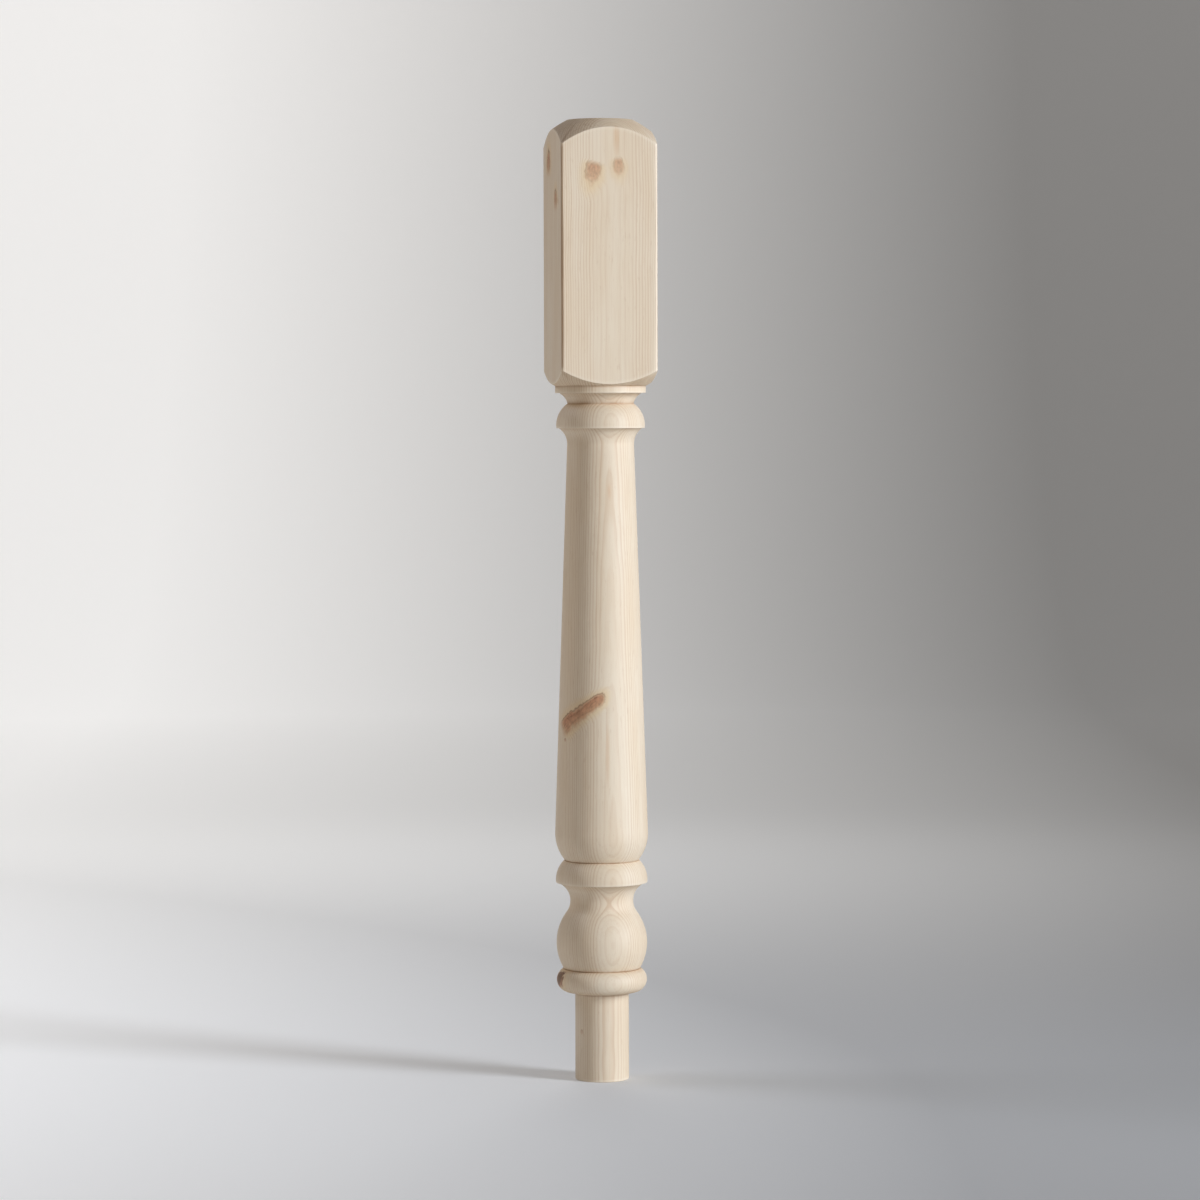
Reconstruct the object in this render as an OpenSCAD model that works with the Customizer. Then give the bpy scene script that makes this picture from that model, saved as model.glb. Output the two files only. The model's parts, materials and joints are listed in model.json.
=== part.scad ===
// Turned softwood newel for a staircase, made from one piece of timber. A square block
// is left at the top for the handrail. Below it the timber is turned to a bead, a long
// tapered stem that swells into a vase, a collar, a bulb and a ring. It ends in a round
// spigot, which is glued into the newel base.
// Sizes are in millimetres. Heights are measured up from the end of the spigot, and the
// turned outline is drawn with its radius along X and its height along Y.

/* [Block] */
// Width of the square block across its flats
block_w = 90; // [86:1:110]
// Height of the block with its two turned shoulders
block_h = 245; // [150:5:400]
// Radius of the eased arrises, the four upright edges of the block
arris_r = 2; // [0.5:0.5:5]
// Radius of the flat left in the middle of the top
top_flat_r = 30.5; // [20:0.5:38]
// Angle at which a shoulder leaves its flat or its fillet
shoulder_angle = 27.5; // [20:0.5:32]
// Radius of the shoulder's curve
shoulder_arc = 124; // [110:1:150]

/* [Bead and fillet] */
// Radius of the plain fillet under the block
fillet_r = 42; // [41:0.5:43]
// Height of the fillet
fillet_h = 6.5; // [4:0.5:10]
// Height of the cove between the fillet and the bead
cove_h = 9.8; // [8:0.2:11]
// Radius of the cove's curve
cove_arc = 13.3; // [12.5:0.1:15]
// Smallest radius of the cove
cove_r = 30.4; // [29:0.2:31]
// Radius of the cove where it meets the fillet
cove_lip_r = 37.5; // [35:0.5:40]
// How far below the cove's foot its curve is centred
cove_drop = 2.5; // [2:0.1:3]
// Largest radius of the bead
bead_r = 41.1; // [40:0.1:43]
// Height of the bead
bead_h = 22.7; // [21:0.1:24]
// Radius of the bead's curve
bead_arc = 23.8; // [23.5:0.1:26]
// Height from the bead's foot to its widest part
bead_rise = 3; // [2:0.1:4]

/* [Stem] */
// Height of the stem from the collar to the bead
stem_h = 401.5; // [250:0.5:700]
// Radius of the stem at its waist, just below the bead
waist_r = 31; // [30:0.5:32]
// Radius of the curve that flares from the waist to the bead
flare_arc = 17.5; // [17:0.5:22]
// Height of that flare
flare_h = 14.5; // [12:0.5:15]
// Largest radius of the vase at the foot of the stem
vase_r = 43.2; // [41:0.1:45]
// Radius of the curve that rounds the vase in to the collar
vase_arc = 40; // [34:1:44]
// Height of that rounding
vase_h = 25.5; // [20:0.5:27]

/* [Collar, bulb and ring] */
// Largest radius of the collar
collar_r = 42.6; // [41:0.1:44]
// Height of the collar
collar_h = 20.5; // [18:0.5:21]
// Radius of the collar's curve
collar_arc = 24.4; // [23:0.1:28]
// Height from the collar's foot to its widest part
collar_rise = 2.8; // [2:0.1:4]
// Smallest radius of the neck between the bulb and the collar
neck_r = 29.3; // [29:0.1:31]
// Radius of the neck's curve
neck_arc = 18.2; // [17:0.1:19]
// Radius of the neck where it meets the collar
neck_lip_r = 39; // [36:0.5:40]
// Height from the ring to the collar
bulb_h = 80.5; // [79:0.5:90]
// Largest radius of the bulb
bulb_r = 42.2; // [41:0.1:43]
// Radius of the bulb's curve
bulb_arc = 47; // [45:0.5:49]
// Height from the ring to the widest part of the bulb
bulb_mid_h = 24.5; // [23:0.5:26]
// Largest radius of the ring
ring_r = 42; // [41:0.5:43]
// Height of the ring
ring_h = 21.5; // [20:0.5:22]
// Radius of the half-round that edges the ring
ring_arc = 11.5; // [11:0.1:12]

/* [Spigot] */
// Diameter of the spigot
spigot_d = 50; // [40:1:56]
// Length of the spigot below the ring
spigot_len = 82; // [50:1:120]
// Width of the small chamfer on the spigot's end
spigot_chamfer = 0.6; // [0.2:0.1:3]

/* [Hidden] */
$fn = 96;

// Heights at which one turned member ends and the next begins
ring_z = spigot_len;
bulb_z = ring_z + ring_h;
collar_z = bulb_z + bulb_h;
stem_z = collar_z + collar_h;
bead_z = stem_z + stem_h;
cove_z = bead_z + bead_h;
fillet_z = cove_z + cove_h;
block_z = fillet_z + fillet_h;
top_z = block_z + block_h;

// The neck's hollow curve runs smoothly on from the bulb's round one: their centres are
// as far apart as the two radii together.
bulb_mid = bulb_z + bulb_mid_h;
neck_out = (neck_r + neck_arc) - (bulb_r - bulb_arc);
neck_rise = sqrt(pow(bulb_arc + neck_arc, 2) - pow(neck_out, 2));
neck_mid = bulb_mid + neck_rise;
neck_z = bulb_mid + neck_rise * bulb_arc / (bulb_arc + neck_arc);

// The stem's straight taper touches the vase's curve below and the flare's curve above.
vase_mid = stem_z + vase_h;
vase_centre = [vase_r - vase_arc, vase_mid];
flare_mid = bead_z - flare_h;
flare_centre = [waist_r + flare_arc, flare_mid];
centre_gap = flare_centre - vase_centre;
taper = asin((vase_arc + flare_arc) / norm(centre_gap)) - atan2(centre_gap.x, centre_gap.y);
taper_side = [cos(taper), sin(taper)];
taper_foot = vase_centre + vase_arc * taper_side;
taper_head = flare_centre - flare_arc * taper_side;

// Heights of the other curves' centres
cove_mid = cove_z - cove_drop;
bead_mid = bead_z + bead_rise;
collar_mid = collar_z + collar_rise;
ring_mid = ring_z + ring_arc;

// Radius that takes in the corners of the block, and one that lies inside every member
corner_r = block_w * sqrt(2) / 2;
core_r = spigot_d / 4;

// The spigot and the fillet run on this far into the solid that they join
lap = 1;

// A plain band of the outline, from height z0 to z1
module band(r, z0, z1) {
    polygon([[0, z0], [r, z0], [r, z1], [0, z1]]);
}

// A band that swells to radius r at height mid
module swell(r, arc, mid, z0, z1) {
    intersection() {
        band(r, z0, z1);
        union() {
            translate([r - arc, mid]) circle(r = arc);
            band(max(r - arc, core_r), z0, z1);
        }
    }
}

// A band no wider than lip, which a round hollow narrows to radius r at height mid
module hollow(r, arc, mid, z0, z1, lip) {
    difference() {
        band(lip, z0, z1);
        translate([r + arc, mid]) circle(r = arc);
    }
}

// The space under one shoulder's curve, which starts at radius r, rises at the
// shoulder's angle and steepens as it goes out
module shoulder(r) {
    centre = [r, 0] + shoulder_arc * [-sin(shoulder_angle), cos(shoulder_angle)];
    intersection() {
        square([corner_r, centre.y]);
        translate(centre) circle(r = shoulder_arc);
    }
    translate([0, centre.y]) square([corner_r, block_h - centre.y]);
}

// The square block, with the arrises eased and both shoulders turned
module block() {
    flat = block_w / 2 - arris_r;
    intersection() {
        translate([0, 0, block_z]) linear_extrude(block_h) union() {
            square([block_w, 2 * flat], center = true);
            square([2 * flat, block_w], center = true);
            for (x = [-flat, flat], y = [-flat, flat])
                translate([x, y]) circle(r = arris_r);
        }
        translate([0, 0, block_z]) rotate_extrude() intersection() {
            shoulder(fillet_r);
            translate([0, block_h]) mirror([0, 1]) shoulder(top_flat_r);
        }
    }
}

// Everything that is turned round between the ring and the block
module turning() {
    rotate_extrude() {
        swell(ring_r, ring_arc, ring_mid, ring_z, bulb_z);
        swell(bulb_r, bulb_arc, bulb_mid, bulb_z, neck_z);
        hollow(neck_r, neck_arc, neck_mid, neck_z, collar_z, neck_lip_r);
        swell(collar_r, collar_arc, collar_mid, collar_z, stem_z);
        swell(vase_r, vase_arc, vase_mid, stem_z, taper_foot.y);
        polygon([[0, taper_foot.y], taper_foot, taper_head, [0, taper_head.y]]);
        hollow(waist_r, flare_arc, flare_mid, taper_head.y, bead_z, waist_r + flare_arc);
        swell(bead_r, bead_arc, bead_mid, bead_z, cove_z);
        hollow(cove_r, cove_arc, cove_mid, cove_z, fillet_z, cove_lip_r);
        band(fillet_r, fillet_z, block_z + lap);
    }
}

// The round spigot, with its end chamfered so that it enters the hole
module spigot() {
    chamfered_r = spigot_d / 2 - spigot_chamfer;
    cylinder(h = spigot_chamfer, r1 = chamfered_r, r2 = spigot_d / 2);
    translate([0, 0, spigot_chamfer])
        cylinder(h = spigot_len - spigot_chamfer + lap, d = spigot_d);
}

module newel_post() {
    color([0.85, 0.77, 0.66]) union() {
        spigot();
        turning();
        block();
    }
}

newel_post();
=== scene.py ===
import json
from math import asin, cos, hypot, pi, radians, sin, sqrt

import bpy
import numpy as np
from mathutils import Matrix, Vector


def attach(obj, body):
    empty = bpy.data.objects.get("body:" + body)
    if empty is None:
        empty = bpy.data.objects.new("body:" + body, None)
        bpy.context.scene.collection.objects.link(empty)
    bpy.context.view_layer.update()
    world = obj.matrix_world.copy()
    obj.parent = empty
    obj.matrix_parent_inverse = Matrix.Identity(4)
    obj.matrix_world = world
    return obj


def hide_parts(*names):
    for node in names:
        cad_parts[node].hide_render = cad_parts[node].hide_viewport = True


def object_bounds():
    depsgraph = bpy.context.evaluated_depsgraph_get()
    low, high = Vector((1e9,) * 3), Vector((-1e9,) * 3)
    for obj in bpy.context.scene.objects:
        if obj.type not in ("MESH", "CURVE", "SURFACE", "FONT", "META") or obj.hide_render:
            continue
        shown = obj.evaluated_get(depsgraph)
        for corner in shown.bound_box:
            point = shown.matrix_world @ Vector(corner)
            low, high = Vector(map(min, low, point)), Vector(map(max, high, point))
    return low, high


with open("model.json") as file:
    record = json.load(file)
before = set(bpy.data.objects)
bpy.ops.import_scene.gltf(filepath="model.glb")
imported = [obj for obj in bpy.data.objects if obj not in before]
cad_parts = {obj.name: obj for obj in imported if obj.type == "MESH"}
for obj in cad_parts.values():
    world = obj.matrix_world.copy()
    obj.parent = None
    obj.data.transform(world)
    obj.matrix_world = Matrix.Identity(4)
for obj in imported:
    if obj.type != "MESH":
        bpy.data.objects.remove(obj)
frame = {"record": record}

cad_low, cad_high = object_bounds()

# ------------------------------------------------------------------------- the spigot --
# The round tenon on the foot of the post, turned down from the same timber as the rest.
# It is glued into the newel base, and its end is chamfered so that it enters the hole.

MM = 0.001  # the outline is worked out in millimetres and the mesh is made in metres
CURVE_STEP = 1.3  # spacing of the outline's points along a turned curve
FAN_R = 1.5  # each end of the post closes to its middle in a fan of this radius
mounts = {mount["name"]: mount for mount in frame["record"]["mounts"]}
spigot_r = mounts["spigot"]["dims"]["r_mm"]
ring_z = mounts["ring_shoulder"]["pos_m"][2] / MM
spigot_chamfer = 0.6
end_r = spigot_r - spigot_chamfer


def straight(start, end, spacing):
    """A straight stretch of the turned outline, as rows of radius and height."""
    steps = max(1, round(hypot(end[0] - start[0], end[1] - start[1]) / spacing))
    return np.linspace(start, end, steps + 1)


def curve(centre_r, centre_z, radius, start_z, end_z, side=1):
    """A round stretch of the outline. It swells where side is 1 and is hollow where it is -1."""
    first = asin((start_z - centre_z) / radius)
    last = asin((end_z - centre_z) / radius)
    angle = np.linspace(first, last, max(3, round((last - first) * radius / CURVE_STEP)) + 1)
    return np.column_stack(
        [centre_r + side * radius * np.cos(angle), centre_z + radius * np.sin(angle)]
    )


outline = [
    straight((FAN_R, 0), (end_r, 0), 2),
    straight((end_r, 0), (spigot_r, spigot_chamfer), 1),
    straight((spigot_r, spigot_chamfer), (spigot_r, ring_z), 3),
]

# ------------------------------------------------------------- ring, bulb and collar --
# The foot of the turning: a half-round ring whose underside sits on the newel base, a
# bulb that draws in to a neck, and a rounded collar. All are cut with gouge and skew.

ring_r, ring_h, ring_arc = 42, 21.5, 11.5
bulb_r, bulb_h, bulb_arc, bulb_mid_h = 42.2, 80.5, 47, 24.5
neck_r, neck_arc, neck_lip_r = 29.3, 18.2, 39
collar_r, collar_h, collar_arc, collar_rise = 42.6, 20.5, 24.4, 2.8

bulb_z = ring_z + ring_h
collar_z = bulb_z + bulb_h
stem_z = collar_z + collar_h
ring_centre = (ring_r - ring_arc, ring_z + ring_arc)
bulb_centre = (bulb_r - bulb_arc, bulb_z + bulb_mid_h)
neck_rise = sqrt((bulb_arc + neck_arc) ** 2 - (neck_r + neck_arc - bulb_centre[0]) ** 2)
neck_centre = (neck_r + neck_arc, bulb_centre[1] + neck_rise)
neck_z = bulb_centre[1] + neck_rise * bulb_arc / (bulb_arc + neck_arc)
neck_top = neck_centre[1] + sqrt(neck_arc**2 - (neck_centre[0] - neck_lip_r) ** 2)

ring = curve(*ring_centre, ring_arc, ring_z, bulb_z)
bulb = curve(*bulb_centre, bulb_arc, bulb_z, neck_z)
neck = curve(*neck_centre, neck_arc, neck_z, neck_top, side=-1)
collar = curve(collar_r - collar_arc, collar_z + collar_rise, collar_arc, collar_z, stem_z)
outline += [
    straight((spigot_r, ring_z), ring[0], 2),
    ring,
    straight(ring[-1], bulb[0], 1),
    bulb,
    neck,
    straight(neck[-1], (neck_lip_r, collar_z), 1),
    straight((neck_lip_r, collar_z), collar[0], 1.5),
    collar,
]

# -------------------------------------------------------------------------- the stem --
# The long part of the turning. A vase swells above the collar and runs up in a straight
# taper to a narrow waist, which flares out again to a lip under the bead.

stem_h = 401.5
vase_r, vase_arc, vase_h = 43.2, 40, 25.5
waist_r, flare_arc, flare_h = 31, 17.5, 14.5

bead_z = stem_z + stem_h
vase_centre = np.array([vase_r - vase_arc, stem_z + vase_h])
flare_centre = np.array([waist_r + flare_arc, bead_z - flare_h])
gap_r, gap_z = flare_centre - vase_centre
taper = asin((vase_arc + flare_arc) / hypot(gap_r, gap_z)) - np.arctan2(gap_r, gap_z)
taper_side = np.array([cos(taper), sin(taper)])
taper_foot = vase_centre + vase_arc * taper_side
taper_head = flare_centre - flare_arc * taper_side

vase = curve(*vase_centre, vase_arc, stem_z, taper_foot[1])
flare = curve(*flare_centre, flare_arc, taper_head[1], bead_z, side=-1)
outline += [
    straight(collar[-1], vase[0], 1),
    vase,
    straight(taper_foot, taper_head, 3.5),
    flare,
]

# --------------------------------------------------------------------- bead and fillet --
# A bold bead with a small cove over it, then a plain fillet left standing under the
# square of the block.

bead_r, bead_h, bead_arc, bead_rise = 41.1, 22.7, 23.8, 3
cove_r, cove_h, cove_arc, cove_drop, cove_lip_r = 30.4, 9.8, 13.3, 2.5, 37.5
fillet_r, fillet_h = 42, 6.5

cove_z = bead_z + bead_h
fillet_z = cove_z + cove_h
block_z = fillet_z + fillet_h
cove_centre = (cove_r + cove_arc, cove_z - cove_drop)
cove_top = cove_centre[1] + sqrt(cove_arc**2 - (cove_centre[0] - cove_lip_r) ** 2)

bead = curve(bead_r - bead_arc, bead_z + bead_rise, bead_arc, bead_z, cove_z)
cove = curve(*cove_centre, cove_arc, cove_z, cove_top, side=-1)
outline += [
    straight(flare[-1], bead[0], 1),
    bead,
    cove,
    straight(cove[-1], (cove_lip_r, fillet_z), 1),
    straight((cove_lip_r, fillet_z), (fillet_r, fillet_z), 1.5),
    straight((fillet_r, fillet_z), (fillet_r, block_z), 1.2),
]

# ------------------------------------------------------------------------- the block --
# The square left at the top to take the handrail. Its four faces are planed, its arrises
# are eased by hand with sandpaper, and a shoulder is turned at each end.

half_w = cad_high.x / MM
top_z = cad_high.z / MM
arris_r = 2
top_flat_r = 30.5
shoulder_angle, shoulder_arc = radians(27.5), 124


def shoulder_rise(radius, start_r):
    """How far a shoulder that starts at start_r has risen where it has reached radius."""
    out = radius - start_r + shoulder_arc * sin(shoulder_angle)
    return shoulder_arc * cos(shoulder_angle) - np.sqrt(shoulder_arc**2 - out**2)


# One round of columns: across each flat, with a close pair beside the arris, then round
# the arris. The turned members use the same columns, at the same angles about the axis.
flat = half_w - arris_r
close_in, next_in = flat - 0.7, flat - 2.6
across = np.concatenate(
    [[-flat, -close_in], np.linspace(-next_in, next_in, 32), [close_in, flat]]
)
round_arris = np.linspace(0, pi / 2, 9)[1:-1]
side = np.concatenate(
    [
        np.column_stack([np.full_like(across, half_w), across]),
        flat + arris_r * np.column_stack([np.cos(round_arris), np.sin(round_arris)]),
    ]
)
is_arris = np.tile(np.arange(len(side)) >= len(across) - 1, 4)
quarter_turns = [np.array([[cos(a), sin(a)], [-sin(a), cos(a)]]) for a in np.arange(4) * pi / 2]
section = np.concatenate([side @ turn for turn in quarter_turns])
angles = np.arctan2(section[:, 1], section[:, 0])
reach = np.hypot(section[:, 0], section[:, 1])

low_edge = block_z + shoulder_rise(reach, fillet_r)
high_edge = top_z - shoulder_rise(reach, top_flat_r)
part = np.linspace(0, 1, 15)[:, None]
low_r = fillet_r + part * (reach - fillet_r)
high_r = reach + part * (top_flat_r - reach)
up = np.linspace(0, 1, 54)[:, None]
crown_rows = straight((top_flat_r, top_z), (FAN_R, top_z), 2.5)
stretches = [np.repeat(rows[:, None, :], len(angles), axis=1) for rows in outline]
stretches += [
    np.stack([low_r, block_z + shoulder_rise(low_r, fillet_r)], axis=-1),
    np.stack([reach + 0 * up, low_edge + up * (high_edge - low_edge)], axis=-1),
    np.stack([high_r, top_z - shoulder_rise(high_r, top_flat_r)], axis=-1),
    np.repeat(crown_rows[:, None, :], len(angles), axis=1),
]

# --------------------------------------------------------- the turned and planed skin --
# The post is one piece of timber, so all its members share one closed skin. Sanding has
# eased every crisp corner a little, and the arrises of the block not quite evenly.

EASE = 0.35  # how far a sanded corner is rounded back on each side
EXTRA_SANDING = 0.22  # most that sanding has taken off an arris beyond its radius


def eased(before, corner, after):
    """Rows that round one corner off, between the rows just before and just after it."""
    sides = []
    for row in (before, after):
        run = np.linalg.norm(row - corner, axis=-1, keepdims=True)
        sides.append(corner + (row - corner) * np.minimum(EASE / run, 0.45))
    ease_in, ease_out = sides
    bend = [
        (1 - t) ** 2 * ease_in + 2 * t * (1 - t) * corner + t**2 * ease_out
        for t in (0.25, 0.5, 0.75)
    ]
    return np.stack([ease_in, *bend, ease_out])


rows = [stretches[0][:1]]
for lower, upper in zip(stretches, stretches[1:]):
    rows.append(lower[1:-1])
    rows.append(eased(lower[-2], upper[0], upper[1]))
rows.append(stretches[-1][1:])
rows = np.concatenate(rows)
radius, height = rows[..., 0], rows[..., 1]

# Hand sanding takes a little more off an arris in some places than in others
along_arris = height / 37 + angles * 5
uneven = 0.5 + 0.3 * np.sin(along_arris) + 0.2 * np.sin(2.7 * along_arris + 1.3)
on_block = np.clip((height - block_z) / 20, 0, 1) * np.clip((top_z - height) / 20, 0, 1)
radius = radius - EXTRA_SANDING * uneven * on_block * is_arris

# How hollow or how proud the skin is at each point, from a copy of the outline that has
# been smoothed over a few millimetres: hollows are drawn darker, and proud edges paler
FINE_STEP = 0.25  # spacing of the copy's points, in millimetres
SMOOTH_STEPS = 24  # how many of its points on each side are smoothed together
# The arrises are drawn paler, as sanding wear and a painted highlight, and the front left one
# darker, as painted shade
PROUD_ARRIS, SHADED_ARRIS = 0.35, 0.95
outer_edge = rows[:, 0]
run = np.concatenate([[0], np.cumsum(np.hypot(*np.diff(outer_edge, axis=0).T))])
fine_run = np.arange(0, run[-1], FINE_STEP)
fine_edge = np.column_stack([np.interp(fine_run, run, line) for line in outer_edge.T])
bell = np.exp(-0.5 * np.linspace(-3, 3, 2 * SMOOTH_STEPS + 1) ** 2)
bell /= bell.sum()
flattened = np.column_stack(
    [
        np.convolve(np.pad(line, SMOOTH_STEPS, mode="edge"), bell, mode="valid")
        for line in fine_edge.T
    ]
)
going = np.gradient(fine_edge, axis=0)
outwards = np.column_stack([going[:, 1], -going[:, 0]]) / np.hypot(*going.T)[:, None]
hollowness = np.interp(run, fine_run, ((flattened - fine_edge) * outwards).sum(axis=1))
# Every arris is drawn as proud, and so paler: sanding wear and a painted highlight
hollow = hollowness[:, None] - PROUD_ARRIS * on_block * is_arris
# The front left arris is drawn as dark as a hollow: painted shade, where it turns away
# from the light on the front face and the light on the left face
hollow = hollow + SHADED_ARRIS * on_block * (is_arris & (angles < -pi / 2))

points = np.stack([radius * np.cos(angles), radius * np.sin(angles), height], axis=-1)
ring_count, column_count = radius.shape
corners = points.reshape(-1, 3)
foot, crown = len(corners), len(corners) + 1
corners = np.concatenate([corners, [[0, 0, 0], [0, 0, top_z]]]) * MM

last_ring = (ring_count - 1) * column_count
neighbours = [(a, (a + 1) % column_count) for a in range(column_count)]
faces = [
    (low + a, low + b, low + column_count + b, low + column_count + a)
    for low in range(0, last_ring, column_count)
    for a, b in neighbours
]
faces += [(b, a, foot) for a, b in neighbours]
faces += [(last_ring + a, last_ring + b, crown) for a, b in neighbours]

mesh = bpy.data.meshes.new("newel_post_skin")
mesh.from_pydata(corners.tolist(), [], faces)
mesh.shade_smooth()
hollow_values = np.concatenate([hollow.ravel(), [0, 0]])
mesh.attributes.new("hollow", "FLOAT", "POINT").data.foreach_set("value", hollow_values)

# A flat layout of the skin for a bake: once round the post from left to right, and along
# its outline from the foot to the top, where the fans at both ends come to a point
layout_x = (np.unwrap(angles) - angles[0]) / (2 * pi)
next_x = np.append(layout_x[1:], 1)
middle_x = (layout_x + next_x) / 2
layout_y = (run + FAN_R) / (run[-1] + 2 * FAN_R)
low_y, high_y = layout_y[:-1, None], layout_y[1:, None]
quads = np.zeros((ring_count - 1, column_count, 4, 2))
quads[..., 0] = np.stack([layout_x, next_x, next_x, layout_x], axis=-1)
quads[..., :2, 1], quads[..., 2:, 1] = low_y[..., None], high_y[..., None]
fans = np.zeros((2, column_count, 3, 2))
fans[0, ..., 0] = np.stack([next_x, layout_x, middle_x], axis=-1)
fans[1, ..., 0] = np.stack([layout_x, next_x, middle_x], axis=-1)
fans[0, :, :2, 1], fans[1, :, :2, 1], fans[1, :, 2, 1] = layout_y[0], layout_y[-1], 1
layout = np.concatenate([quads.ravel(), fans.ravel()])
mesh.uv_layers.new(name="OFBake").data.foreach_set("uv", layout)

post = bpy.data.objects.new("newel_post_timber", mesh)
bpy.context.scene.collection.objects.link(post)

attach(post, "root")
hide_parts("newel_post")

# ------------------------------------------------------------------- growth of the pine --
# A plain-sawn square of fast-grown pine, whose pith, the middle of the tree, lay just
# outside the front face. Its rings show as upright lines and peaks, and its branches as
# knots, which slope down as they go out because the timber is upside down.

PITH_X, PITH_Y = 3.4, -51.9

# Bare pine, planed or turned and then sanded, with nothing brushed on it: pale cream and
# nearly matt. Only the hard latewood and the worn edges have a faint silky shine.
wood = bpy.data.materials.new("bare_sanded_pine")
wood.use_nodes = True
node_tree = wood.node_tree
node_tree.nodes.clear()


def linear(hex_colour):
    """An sRGB hex colour as the linear RGBA that the shader works in."""
    channels = [int(hex_colour[i : i + 2], 16) / 255 for i in (1, 3, 5)]
    return [c / 12.92 if c <= 0.04045 else ((c + 0.055) / 1.055) ** 2.4 for c in channels] + [1]


def add(kind, inputs, output=0, **settings):
    """Adds a node with its settings, links or fills its inputs, and returns one output."""
    made = node_tree.nodes.new("ShaderNode" + kind)
    for name, value in settings.items():
        setattr(made, name, value)
    for name, value in inputs.items():
        if isinstance(value, bpy.types.NodeSocket):
            node_tree.links.new(value, made.inputs[name])
        else:
            made.inputs[name].default_value = value
    return made.outputs[output] if made.outputs else None


place = add("TexCoord", {}, output="Object")
place_mm = add("VectorMath", {0: place, "Scale": 1 / MM}, operation="SCALE")
up_mm = add("SeparateXYZ", {0: place_mm}, output="Z")

# The trunk wanders a little from straight over the length of the post
wander_at = add("Math", {0: up_mm, 1: 1 / 300}, operation="MULTIPLY")
wander = add("TexNoise", {"W": wander_at, "Detail": 1}, output="Color", noise_dimensions="1D")
wander = add("VectorMath", {0: wander, 1: (0.5, 0.5, 0.5)}, operation="SUBTRACT")
wander = add("VectorMath", {0: wander, 1: (1.8, 1.8, 0)}, operation="MULTIPLY")
grown = add("VectorMath", {0: place_mm, 1: wander}, operation="SUBTRACT")

# Each branch: a point where it shows on the surface, the way that it grew (degrees round
# from +X, and its slope), how far it runs before and past that point, its radius there,
# how fast it thickens, and how dark it is
BRANCHES = [
    # whorl in the block
    (-14.8, -45, 842, 108, -1.25, 7, 60, 7.6, 0.05, 0.85),
    (8.6, -45, 846, 84, -1.35, 7, 60, 5.4, 0.05, 0.7),
    (-45, 17, 849, 172, -1.3, 60, 9, 8.8, 0.05, 1.0),
    (-45, -17, 815, 172, -1.3, 60, 9, 7.4, 0.05, 0.9),
    (45, -12, 828, 20, -0.8, 50, 9, 7, 0.06, 0.6),
    (16, 45, 822, 80, -0.7, 90, 9, 8, 0.05, 0.8),
    # whorl in the stem
    (-36.8, -15.4, 331, 136.6, -0.7, 62, 8, 8.4, 0.055, 1.1),
    (-35.1, -18.1, 337, 207, -0.3, 6, 6, 1.7, 0, 1),
    (-36.4, -15.2, 318.5, 203, -0.3, 6, 6, 1.7, 0, 1),
    (37, 12, 336, 24, -0.6, 20, 9, 5, 0.04, 0.7),
    (8, 38, 322, 80, -0.5, 60, 9, 6, 0.05, 0.8),
    # whorl in the bulb and ring
    (-41.9, -2, 94, 140, 0, 22, 9, 7.6, 0.03, 2.2),
    (-21.8, -12.2, 46, 208, -0.9, 8, 5, 2, 0, 0.7),
    (36, 20, 95, 30, -0.5, 30, 9, 7, 0.05, 0.8),
]
warp = add("VectorMath", {0: grown, 1: (1 / 5, 1 / 5, 1 / 9)}, operation="MULTIPLY")
warp = add("TexNoise", {"Vector": warp, "Scale": 1, "Detail": 4, "Roughness": 0.65})
warp = add("MapRange", {0: warp, 1: 0.3, 2: 0.7, 3: -0.2, 4: 0.2})
knot, swelling, nearest, knot_rim = 0.0, 0.0, 99.0, 0.0
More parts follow.
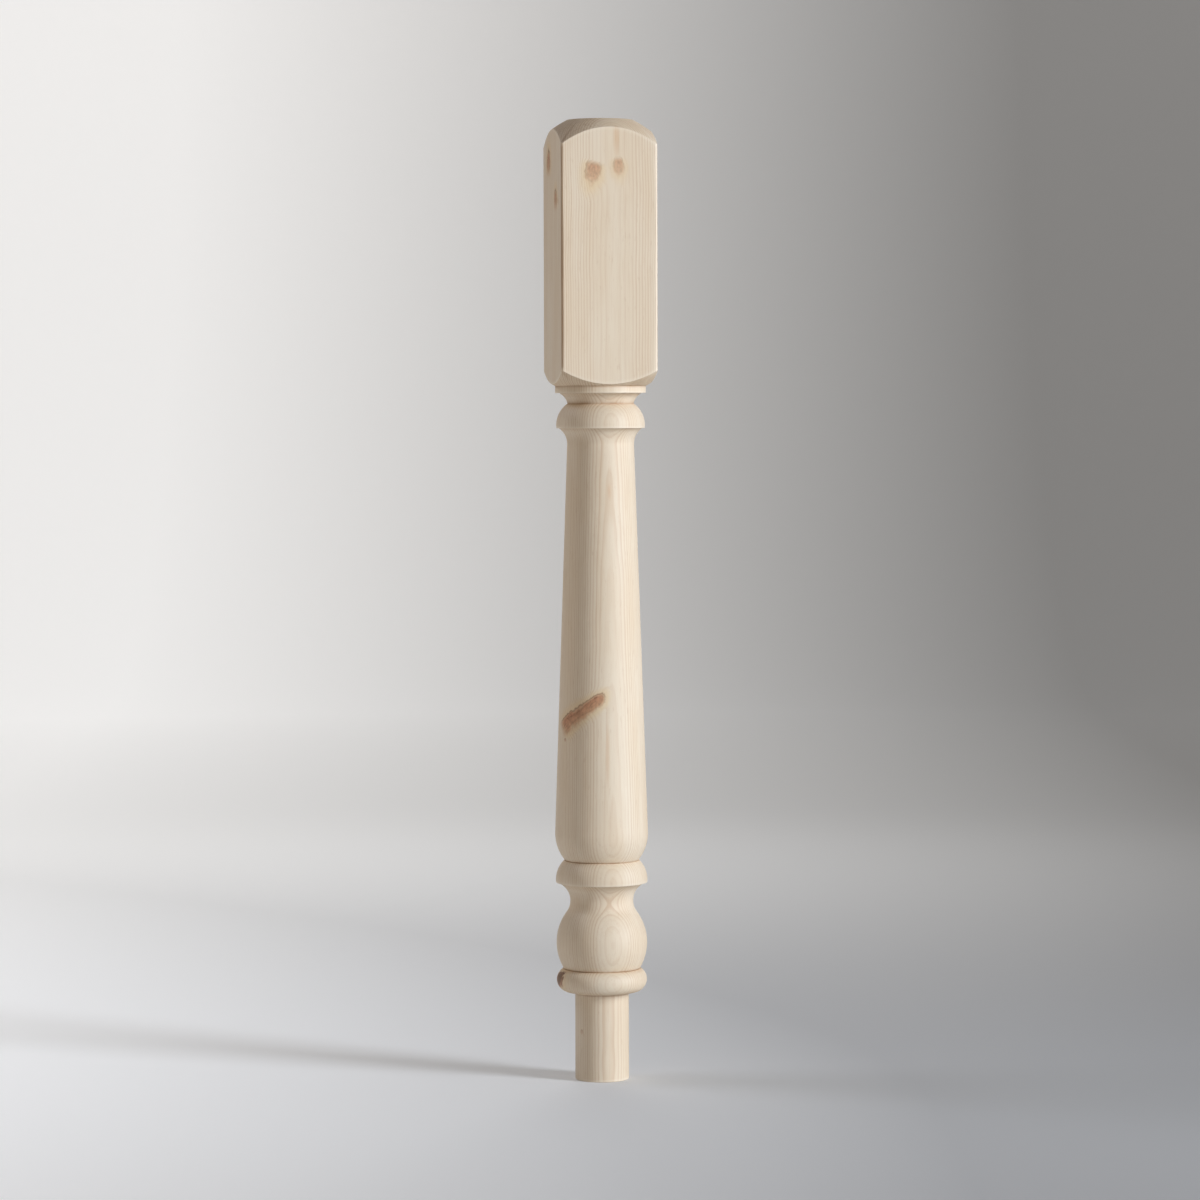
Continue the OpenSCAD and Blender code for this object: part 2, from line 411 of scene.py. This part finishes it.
for x, y, z, heading, slope, before, past, branch_r, thickening, darkness in BRANCHES:
    level = Vector((cos(radians(heading)), sin(radians(heading)), 0))
    axis = (level + Vector((0, 0, slope))).normalized()
    upper = (Vector((0, 0, 1)) - axis.z * axis).normalized()
    root = Vector((x, y, z)) - before * axis
    from_root = add("VectorMath", {0: grown, 1: root}, operation="SUBTRACT")
    along = add("VectorMath", {0: from_root, 1: axis}, output="Value", operation="DOT_PRODUCT")
    lift = add("VectorMath", {0: from_root, 1: upper}, output="Value", operation="DOT_PRODUCT")
    off = add("VectorMath", {0: from_root, 1: axis}, operation="CROSS_PRODUCT")
    off = add("VectorMath", {0: off}, output="Value", operation="LENGTH")
    root_r = branch_r - before * thickening
    girth = add("Math", {0: along, 1: thickening, 2: root_r}, operation="MULTIPLY_ADD")
    share = add("Math", {0: off, 1: girth}, operation="DIVIDE")
    share = add("Math", {0: share, 1: warp}, operation="ADD")
    begun = add("MapRange", {0: along, 1: 0, 2: 4})
    ended = add("MapRange", {0: along, 1: before + past, 2: before + past - 8})
    there = add("Math", {0: begun, 1: ended}, operation="MULTIPLY")
    # The side towards the tree's root is the darker one: it is the upper side here
    shade = add("MapRange", {0: lift, 1: -branch_r, 2: branch_r, 3: 0.6 * darkness, 4: darkness})
    shade = add("Math", {0: shade, 1: there}, operation="MULTIPLY")
    inside = add("MapRange", {0: share, 1: 1.2, 2: 0.55}, interpolation_type="SMOOTHSTEP")
    inside = add("Math", {0: inside, 1: shade}, operation="MULTIPLY")
    rim = add("Math", {0: share, 1: 0.95}, operation="SUBTRACT")
    rim = add("Math", {0: rim}, operation="ABSOLUTE")
    rim = add("MapRange", {0: rim, 1: 0.14, 2: 0}, interpolation_type="SMOOTHSTEP")
    # The rim line is drawn only along the upper edge, dark there as a painted shadow line
    shade = add("MapRange", {0: lift, 1: -branch_r, 2: branch_r, 3: -0.2, 4: darkness})
    rim = add("Math", {0: rim, 1: shade}, operation="MULTIPLY")
    rim = add("Math", {0: rim, 1: there}, operation="MULTIPLY")
    bulge = add("MapRange", {0: share, 1: 2.2, 2: 0.6}, interpolation_type="SMOOTHSTEP")
    bulge = add("Math", {0: bulge, 1: there}, operation="MULTIPLY")
    bulge = add("Math", {0: bulge, 1: branch_r}, operation="MULTIPLY")
    knot = add("Math", {0: inside, 1: knot}, operation="MAXIMUM")
    knot_rim = add("Math", {0: rim, 1: knot_rim}, operation="MAXIMUM")
    swelling = add("Math", {0: bulge, 1: swelling}, operation="MAXIMUM")
    nearest = add("Math", {0: off, 1: nearest}, operation="MINIMUM")

# Resin has stained a few short runs of fibre: where each is, its lowest and highest
# point, its half width and its strength
STREAKS = [
    (6.5, -45, 850, 892, 3.4, 1.1),
    (-1.9, -40, 258, 341, 2.4, 0.9),
    (1.9, -33, 538, 559, 2.2, 0.8),
    (-7.3, -40.2, 253, 260, 1, 1.2),
    (20, 37, 440, 500, 2, 0.8),
    (45, 8, 700, 742, 2, 0.7),
]
streak = 0.0
for x, y, z_low, z_high, half_width, strength in STREAKS:
    off = add("VectorMath", {0: place_mm, 1: (x, y, 0)}, operation="SUBTRACT")
    off = add("VectorMath", {0: off, 1: (1, 1, 0)}, operation="MULTIPLY")
    off = add("VectorMath", {0: off}, output="Value", operation="LENGTH")
    middle_z, half_z = (z_low + z_high) / 2, (z_high - z_low) / 2
    off_end = add("Math", {0: up_mm, 1: middle_z}, operation="SUBTRACT")
    off_end = add("Math", {0: off_end, 1: half_width / half_z}, operation="MULTIPLY")
    off = add("CombineXYZ", {0: off, 1: off_end})
    off = add("VectorMath", {0: off}, output="Value", operation="LENGTH")
    mark = add("MapRange", {0: off, 1: half_width, 2: 0, 4: strength})
    streak = add("Math", {0: mark, 1: streak}, operation="MAXIMUM")

# Rings are counted from the pith. They are wide near it, about 4 mm, and close up to
# little more than 1 mm at the back. They bend out round each branch.
RINGS_PER_MM, RINGS_CLOSING, RING_PHASE = 0.2, 0.00325, 0.58
from_pith = add("VectorMath", {0: grown, 1: (PITH_X, PITH_Y, 0)}, operation="SUBTRACT")
from_pith = add("VectorMath", {0: from_pith, 1: (1, 1, 0)}, operation="MULTIPLY")
from_pith = add("VectorMath", {0: from_pith}, output="Value", operation="LENGTH")
waver = add("VectorMath", {0: grown, 1: (1 / 38, 1 / 38, 1 / 600)}, operation="MULTIPLY")
waver = add("TexNoise", {"Vector": waver, "Scale": 1, "Detail": 2})
waver = add("MapRange", {0: waver, 1: 0.3, 2: 0.7, 3: -0.5, 4: 0.5})
distance = add("Math", {0: swelling, 1: -0.62, 2: from_pith}, operation="MULTIPLY_ADD")
distance = add("Math", {0: distance, 1: waver}, operation="ADD")
closing = add("Math", {0: distance, 1: RINGS_CLOSING, 2: RINGS_PER_MM}, operation="MULTIPLY_ADD")
count = add("Math", {0: distance, 1: closing, 2: RING_PHASE}, operation="MULTIPLY_ADD")
year = add("Math", {0: count}, operation="FLOOR")
season = add("Math", {0: count}, operation="FRACT")
summer = add("MapRange", {0: season, 1: 0.35, 2: 0.9}, interpolation_type="SMOOTHSTEP")
winter = add("MapRange", {0: season, 1: 0.99, 2: 0.9}, interpolation_type="SMOOTHSTEP")
latewood = add("Math", {0: summer, 1: winter}, operation="MULTIPLY")
good_year = add("TexWhiteNoise", {"W": year}, noise_dimensions="1D")
good_year = add("MapRange", {0: good_year, 3: 0.3, 4: 1})
latewood = add("Math", {0: latewood, 1: good_year}, operation="MULTIPLY")
# The first years' wood is pale: the strongest rings start about 20 mm from the pith
strength = add("MapRange", {0: distance, 1: 8, 2: 28, 3: 0.25}, interpolation_type="SMOOTHSTEP")
latewood = add("Math", {0: latewood, 1: strength}, operation="MULTIPLY")

# Fibres run up the timber. Real ones are a few hundredths of a millimetre wide; these
# are drawn as bundles about 1 mm wide and 45 mm long, so that they show. The flecks are
# short resin ducts, 1.4 mm wide and 9 mm long, which is also coarser than real ones.
fibre_at = add("VectorMath", {0: grown, 1: (1, 1, 1 / 45)}, operation="MULTIPLY")
fibre = add("TexNoise", {"Vector": fibre_at, "Scale": 1, "Detail": 3, "Roughness": 0.6})
fleck_at = add("VectorMath", {0: grown, 1: (1 / 1.4, 1 / 1.4, 1 / 9)}, operation="MULTIPLY")
fleck = add("TexNoise", {"Vector": fleck_at, "Scale": 1, "Detail": 1})
fleck = add("MapRange", {0: fleck, 1: 0.66, 2: 0.78})
cloud_at = add("VectorMath", {0: grown, 1: (1 / 24, 1 / 24, 1 / 130)}, operation="MULTIPLY")
cloud = add("TexNoise", {"Vector": cloud_at, "Scale": 1, "Detail": 3})
cloud = add("MapRange", {0: cloud, 1: 0.35, 2: 0.65})

EARLYWOOD, LATEWOOD = linear("#E2D4BE"), linear("#C09C78")
WARM_CLOUD, FLECK = linear("#DCC9AE"), linear("#A97C55")
KNOT_HEART, KNOT_RING, KNOT_RIM = linear("#C48F6C"), linear("#96674A"), linear("#6F4A31")
HALO, STREAK, DEAD_KNOT = linear("#DFC394"), linear("#C99A68"), linear("#7A5A40")
END_GRAIN, DARK_BROWN, WORN_AND_HIGHLIT = linear("#D6BE9D"), linear("#9C7450"), linear("#EEE2CE")
cloud_share = add("Math", {0: cloud, 1: 0.7}, operation="MULTIPLY")
colour = add("MixRGB", {0: cloud_share, 1: EARLYWOOD, 2: WARM_CLOUD})
# End grain, on the top, the shoulders and the spigot's end, drinks in light and dirt
facing_up = add("NewGeometry", {}, output="True Normal")
facing_up = add("SeparateXYZ", {0: facing_up}, output="Z")
facing_up = add("Math", {0: facing_up}, operation="ABSOLUTE")
end_share = add("MapRange", {0: facing_up, 1: 0.6, 2: 1, 4: 0.5})
colour = add("MixRGB", {0: end_share, 1: colour, 2: END_GRAIN})
# Bands of latewood, fibres, flecks, resin, and the resinous halo where the rings bend
late_share = add("Math", {0: end_share, 1: 0.9, 2: 0.52}, operation="MULTIPLY_ADD")
late_share = add("Math", {0: latewood, 1: late_share}, operation="MULTIPLY")
colour = add("MixRGB", {0: late_share, 1: colour, 2: LATEWOOD})
fibre_share = add("MapRange", {0: fibre, 1: 0.5, 2: 0.85, 4: 0.3})
colour = add("MixRGB", {0: fibre_share, 1: colour, 2: LATEWOOD})
fleck_share = add("Math", {0: fleck, 1: 0.18}, operation="MULTIPLY")
colour = add("MixRGB", {0: fleck_share, 1: colour, 2: FLECK})
streak_share = add("Math", {0: streak, 1: fibre}, operation="MULTIPLY")
colour = add("MixRGB", {0: streak_share, 1: colour, 2: STREAK})
halo_share = add("MapRange", {0: swelling, 1: 0.3, 2: 6, 4: 0.5})
colour = add("MixRGB", {0: halo_share, 1: colour, 2: HALO})
# A branch has fine rings of its own, 2.6 mm apart, and its wood is mottled. One that had
# died before the tree round it grew on has gone dark. Bark is left as a line at the rim,
# which is darkest along the upper edge, where it is a painted shadow line.
knot_season = add("Math", {0: nearest, 1: 1.3}, operation="PINGPONG")
knot_season = add("MapRange", {0: knot_season, 1: 0.6, 2: 1.2, 4: 0.35})
mottle = add("VectorMath", {0: grown, 1: (1 / 2.6, 1 / 2.6, 1 / 4)}, operation="MULTIPLY")
mottle = add("TexNoise", {"Vector": mottle, "Scale": 1, "Detail": 3})
mottle = add("MapRange", {0: mottle, 1: 0.4, 2: 0.65, 4: 0.65})
knot_season = add("Math", {0: knot_season, 1: mottle}, operation="ADD")
knot_colour = add("MixRGB", {0: knot_season, 1: KNOT_HEART, 2: KNOT_RING})
dead = add("MapRange", {0: knot, 1: 1, 2: 1.6})
knot_colour = add("MixRGB", {0: dead, 1: knot_colour, 2: DEAD_KNOT})
colour = add("MixRGB", {0: knot, 1: colour, 2: knot_colour})
rim_share = add("Math", {0: knot_rim, 1: 0.6}, operation="MULTIPLY")
colour = add("MixRGB", {0: rim_share, 1: colour, 2: KNOT_RIM})

# Where the cutter met the end grain of the shoulders it has torn out specks of it, about
# 2 mm across, in patches a few centimetres wide
torn_at = add("VectorMath", {0: place_mm, 1: (1 / 2.2, 1 / 2.2, 1 / 1.6)}, operation="MULTIPLY")
torn = add("TexNoise", {"Vector": torn_at, "Scale": 1, "Detail": 3})
torn = add("MapRange", {0: torn, 1: 0.45, 2: 0.65})
patch_at = add("VectorMath", {0: place, "Scale": 22}, operation="SCALE")
patch = add("TexNoise", {"Vector": patch_at, "Scale": 1})
patch = add("MapRange", {0: patch, 1: 0.45, 2: 0.6})
torn = add("Math", {0: torn, 1: patch}, operation="MULTIPLY")
torn = add("Math", {0: torn, 1: end_share}, operation="MULTIPLY")
colour = add("MixRGB", {0: torn, 1: colour, 2: DARK_BROWN})
# The hollows are drawn darker, here more and there less, and so is the front left arris, as
# painted shade. Proud edges are paler: sanding wear, and on the arrises a painted highlight
hollowed = add("Attribute", {}, output="Fac", attribute_name="hollow")
hollow_darkening = add("MapRange", {0: hollowed, 1: 0.08, 2: 0.8, 4: 0.9})
darkening_patches = add("MapRange", {0: cloud, 3: 0.5, 4: 1})
hollow_darkening = add("Math", {0: hollow_darkening, 1: darkening_patches}, operation="MULTIPLY")
colour = add("MixRGB", {0: hollow_darkening, 1: colour, 2: DARK_BROWN})
worn_and_highlit = add("MapRange", {0: hollowed, 1: -0.12, 2: -0.6, 4: 0.45})
colour = add("MixRGB", {0: worn_and_highlit, 1: colour, 2: WORN_AND_HIGHLIT})

# Hard latewood and knots stand a few hundredths of a millimetre proud of the soft wood
relief = add("Math", {0: latewood, 1: 0.5, 2: fibre}, operation="MULTIPLY_ADD")
relief = add("Math", {0: knot, 1: 0.6, 2: relief}, operation="MULTIPLY_ADD")
bump = add("Bump", {"Strength": 0.6, "Distance": 0.06 * MM, "Height": relief}, output="Normal")
rough = add("MapRange", {0: latewood, 3: 0.6, 4: 0.5})
rough = add("Math", {0: end_share, 1: 0.7, 2: rough}, operation="MULTIPLY_ADD")
rough = add("Math", {0: worn_and_highlit, 1: -0.2, 2: rough}, operation="MULTIPLY_ADD")
bare = add(
    "BsdfPrincipled", {"Base Color": colour, "Roughness": rough, "Normal": bump, "IOR": 1.5}
)
add("OutputMaterial", {"Surface": bare})
mesh.materials.append(wood)

# ------------------------------------------------------------------------- the studio --
# A seamless pale sweep of painted board all round the post, a tall soft lamp level with
# it on the right, weaker ones behind it and high on the left, and a long lens.

VIEW_AZIMUTH = -11.3  # how far the camera stands round to the left of the front face
SWEEP_FLAT, SWEEP_BEND, SWEEP_TOP = 4.6, 1.6, 6
bend = np.linspace(0, pi / 2, 17)
profile = [(0.4, 0), (1.5, 0), (3, 0)]  # radius and height in metres, from the post outwards
profile += [(SWEEP_FLAT + SWEEP_BEND * sin(a), SWEEP_BEND * (1 - cos(a))) for a in bend]
profile += [(SWEEP_FLAT + SWEEP_BEND, SWEEP_TOP)]
around = np.linspace(0, 2 * pi, 96, endpoint=False)
sweep_points = [(r * cos(a), r * sin(a), z) for r, z in profile for a in around] + [(0, 0, 0)]
count_round = len(around)
spokes = [(i, (i + 1) % count_round) for i in range(count_round)]
sweep_faces = [
    (inner + a, inner + b, inner + count_round + b, inner + count_round + a)
    for inner in range(0, (len(profile) - 1) * count_round, count_round)
    for a, b in spokes
]
sweep_faces += [(a, len(sweep_points) - 1, b) for a, b in spokes]
sweep_mesh = bpy.data.meshes.new("sweep")
sweep_mesh.from_pydata(sweep_points, [], sweep_faces)
sweep_mesh.shade_smooth()
sweep = bpy.data.objects.new("sweep", sweep_mesh)
bpy.context.scene.collection.objects.link(sweep)

# Matt board without any gloss, shaded and lit by the painted light that is set below
glowing_board = bpy.data.materials.new("graduated_glowing_board")
glowing_board.use_nodes = True
node_tree = glowing_board.node_tree
board = node_tree.nodes["Principled BSDF"]
board.inputs["Roughness"].default_value = 0.9
# The board's colour is painted lighter on the left and darker on the right, as light falls
# off, and it glows a little as painted light behind the post and on the floor to its left.
# The distances are metres to the right of the post and behind it.
view_right = (cos(radians(VIEW_AZIMUTH)), sin(radians(VIEW_AZIMUTH)), 0)
view_ahead = (-sin(radians(VIEW_AZIMUTH)), cos(radians(VIEW_AZIMUTH)), 0)
board_at = add("TexCoord", {}, output="Object")
rightward = add("VectorMath", {0: board_at, 1: view_right}, output="Value", operation="DOT_PRODUCT")
behind = add("VectorMath", {0: board_at, 1: view_ahead}, output="Value", operation="DOT_PRODUCT")
glow = add("MapRange", {0: rightward, 1: -1, 2: 1, 3: 0.62, 4: 0.15})
backed = add("MapRange", {0: behind, 1: -0.2, 2: 2.2}, interpolation_type="SMOOTHSTEP")
glow = add("Math", {0: glow, 1: backed}, operation="MULTIPLY")
near_view = add("Math", {0: rightward}, operation="ABSOLUTE")
near_view = add("MapRange", {0: near_view, 1: 3.8, 2: 1.4}, interpolation_type="SMOOTHSTEP")
glow = add("Math", {0: glow, 1: near_view}, operation="MULTIPLY")
floor_glow = add("MapRange", {0: rightward, 1: -0.8, 2: 0.3, 3: 0.5, 4: 0})
floor_glow = add("Math", {0: floor_glow, 1: near_view}, operation="MULTIPLY")
glow = add("Math", {0: glow, 1: floor_glow}, operation="MAXIMUM")
greyed = add("MapRange", {0: rightward, 1: -0.9, 2: 0.9}, interpolation_type="SMOOTHSTEP")
grey = add("MixRGB", {0: greyed, 1: linear("#E2E2E2"), 2: linear("#A2A2A2")})
# The rest of the room is dimmer and slightly cream, and it glows faintly with warm painted
# light, so that the shadows stay warm
front = add("MapRange", {0: behind, 1: -3.4, 2: -0.6}, interpolation_type="SMOOTHSTEP")
in_view = add("Math", {0: near_view, 1: front}, operation="MULTIPLY")
surround = add("MixRGB", {0: in_view, 1: linear("#D2CBC1"), 2: grey})
node_tree.links.new(surround, board.inputs["Base Color"])
lit = add("MixRGB", {0: in_view, 1: linear("#FFEEDB"), 2: linear("#FFFFFF")})
room_glow = add("MapRange", {0: in_view, 3: 0.085, 4: 0})
glow = add("Math", {0: glow, 1: room_glow}, operation="MAXIMUM")
node_tree.links.new(lit, board.inputs["Emission Color"])
node_tree.links.new(glow, board.inputs["Emission Strength"])
sweep_mesh.materials.append(glowing_board)

middle = (cad_low + cad_high) / 2


def lamp(name, from_view, elevation, away, width, tall, watts, colour, spread):
    """A soft rectangular lamp aimed at the post, placed by its angles in degrees from the
    camera's side of it and its distance in metres."""
    data = bpy.data.lights.new(name, "AREA")
    data.shape, data.size, data.size_y = "RECTANGLE", width, tall
    data.energy, data.color, data.spread = watts, linear(colour)[:3], radians(spread)
    azimuth = radians(VIEW_AZIMUTH + from_view)
    level = cos(radians(elevation))
    back = Vector((sin(azimuth) * level, -cos(azimuth) * level, sin(radians(elevation))))
    light = bpy.data.objects.new(name, data)
    light.location = middle + away * back
    light.rotation_euler = back.to_track_quat("Z", "Y").to_euler()
    bpy.context.scene.collection.objects.link(light)


lamp("key", 62, 14, away=2.6, width=0.7, tall=1.6, watts=22.4, colour="#EEF5FF", spread=90)
lamp("back", 175, 25, away=3.0, width=1.4, tall=1.4, watts=4, colour="#FFFFFF", spread=100)
lamp("high", -100, 48, away=2.6, width=1.0, tall=1.0, watts=3.4, colour="#E9EFFF", spread=90)

world = bpy.data.worlds.new("studio")
world.use_nodes = True
air = world.node_tree.nodes["Background"]
air.inputs["Color"].default_value = linear("#FFE7CB")
air.inputs["Strength"].default_value = 0.01
bpy.context.scene.world = world

LENS, SENSOR = 126, 36  # millimetres
CAMERA_AWAY, CAMERA_HEIGHT = 3.892, 0.632  # metres
CAMERA_DOWN, CAMERA_ASIDE, CAMERA_ROLL = 2.726, 0.0134, -0.149  # degrees
camera = bpy.data.objects.new("camera", bpy.data.cameras.new("camera"))
camera.data.lens, camera.data.sensor_width = LENS, SENSOR
azimuth = radians(VIEW_AZIMUTH)
camera.location = (CAMERA_AWAY * sin(azimuth), -CAMERA_AWAY * cos(azimuth), CAMERA_HEIGHT)
camera.rotation_euler = (
    Matrix.Rotation(radians(VIEW_AZIMUTH + CAMERA_ASIDE), 3, "Z")
    @ Matrix.Rotation(radians(90 - CAMERA_DOWN), 3, "X")
    @ Matrix.Rotation(radians(CAMERA_ROLL), 3, "Z")
).to_euler()
bpy.context.scene.collection.objects.link(camera)
bpy.context.scene.camera = camera
bpy.context.scene.view_settings.view_transform = "Standard"
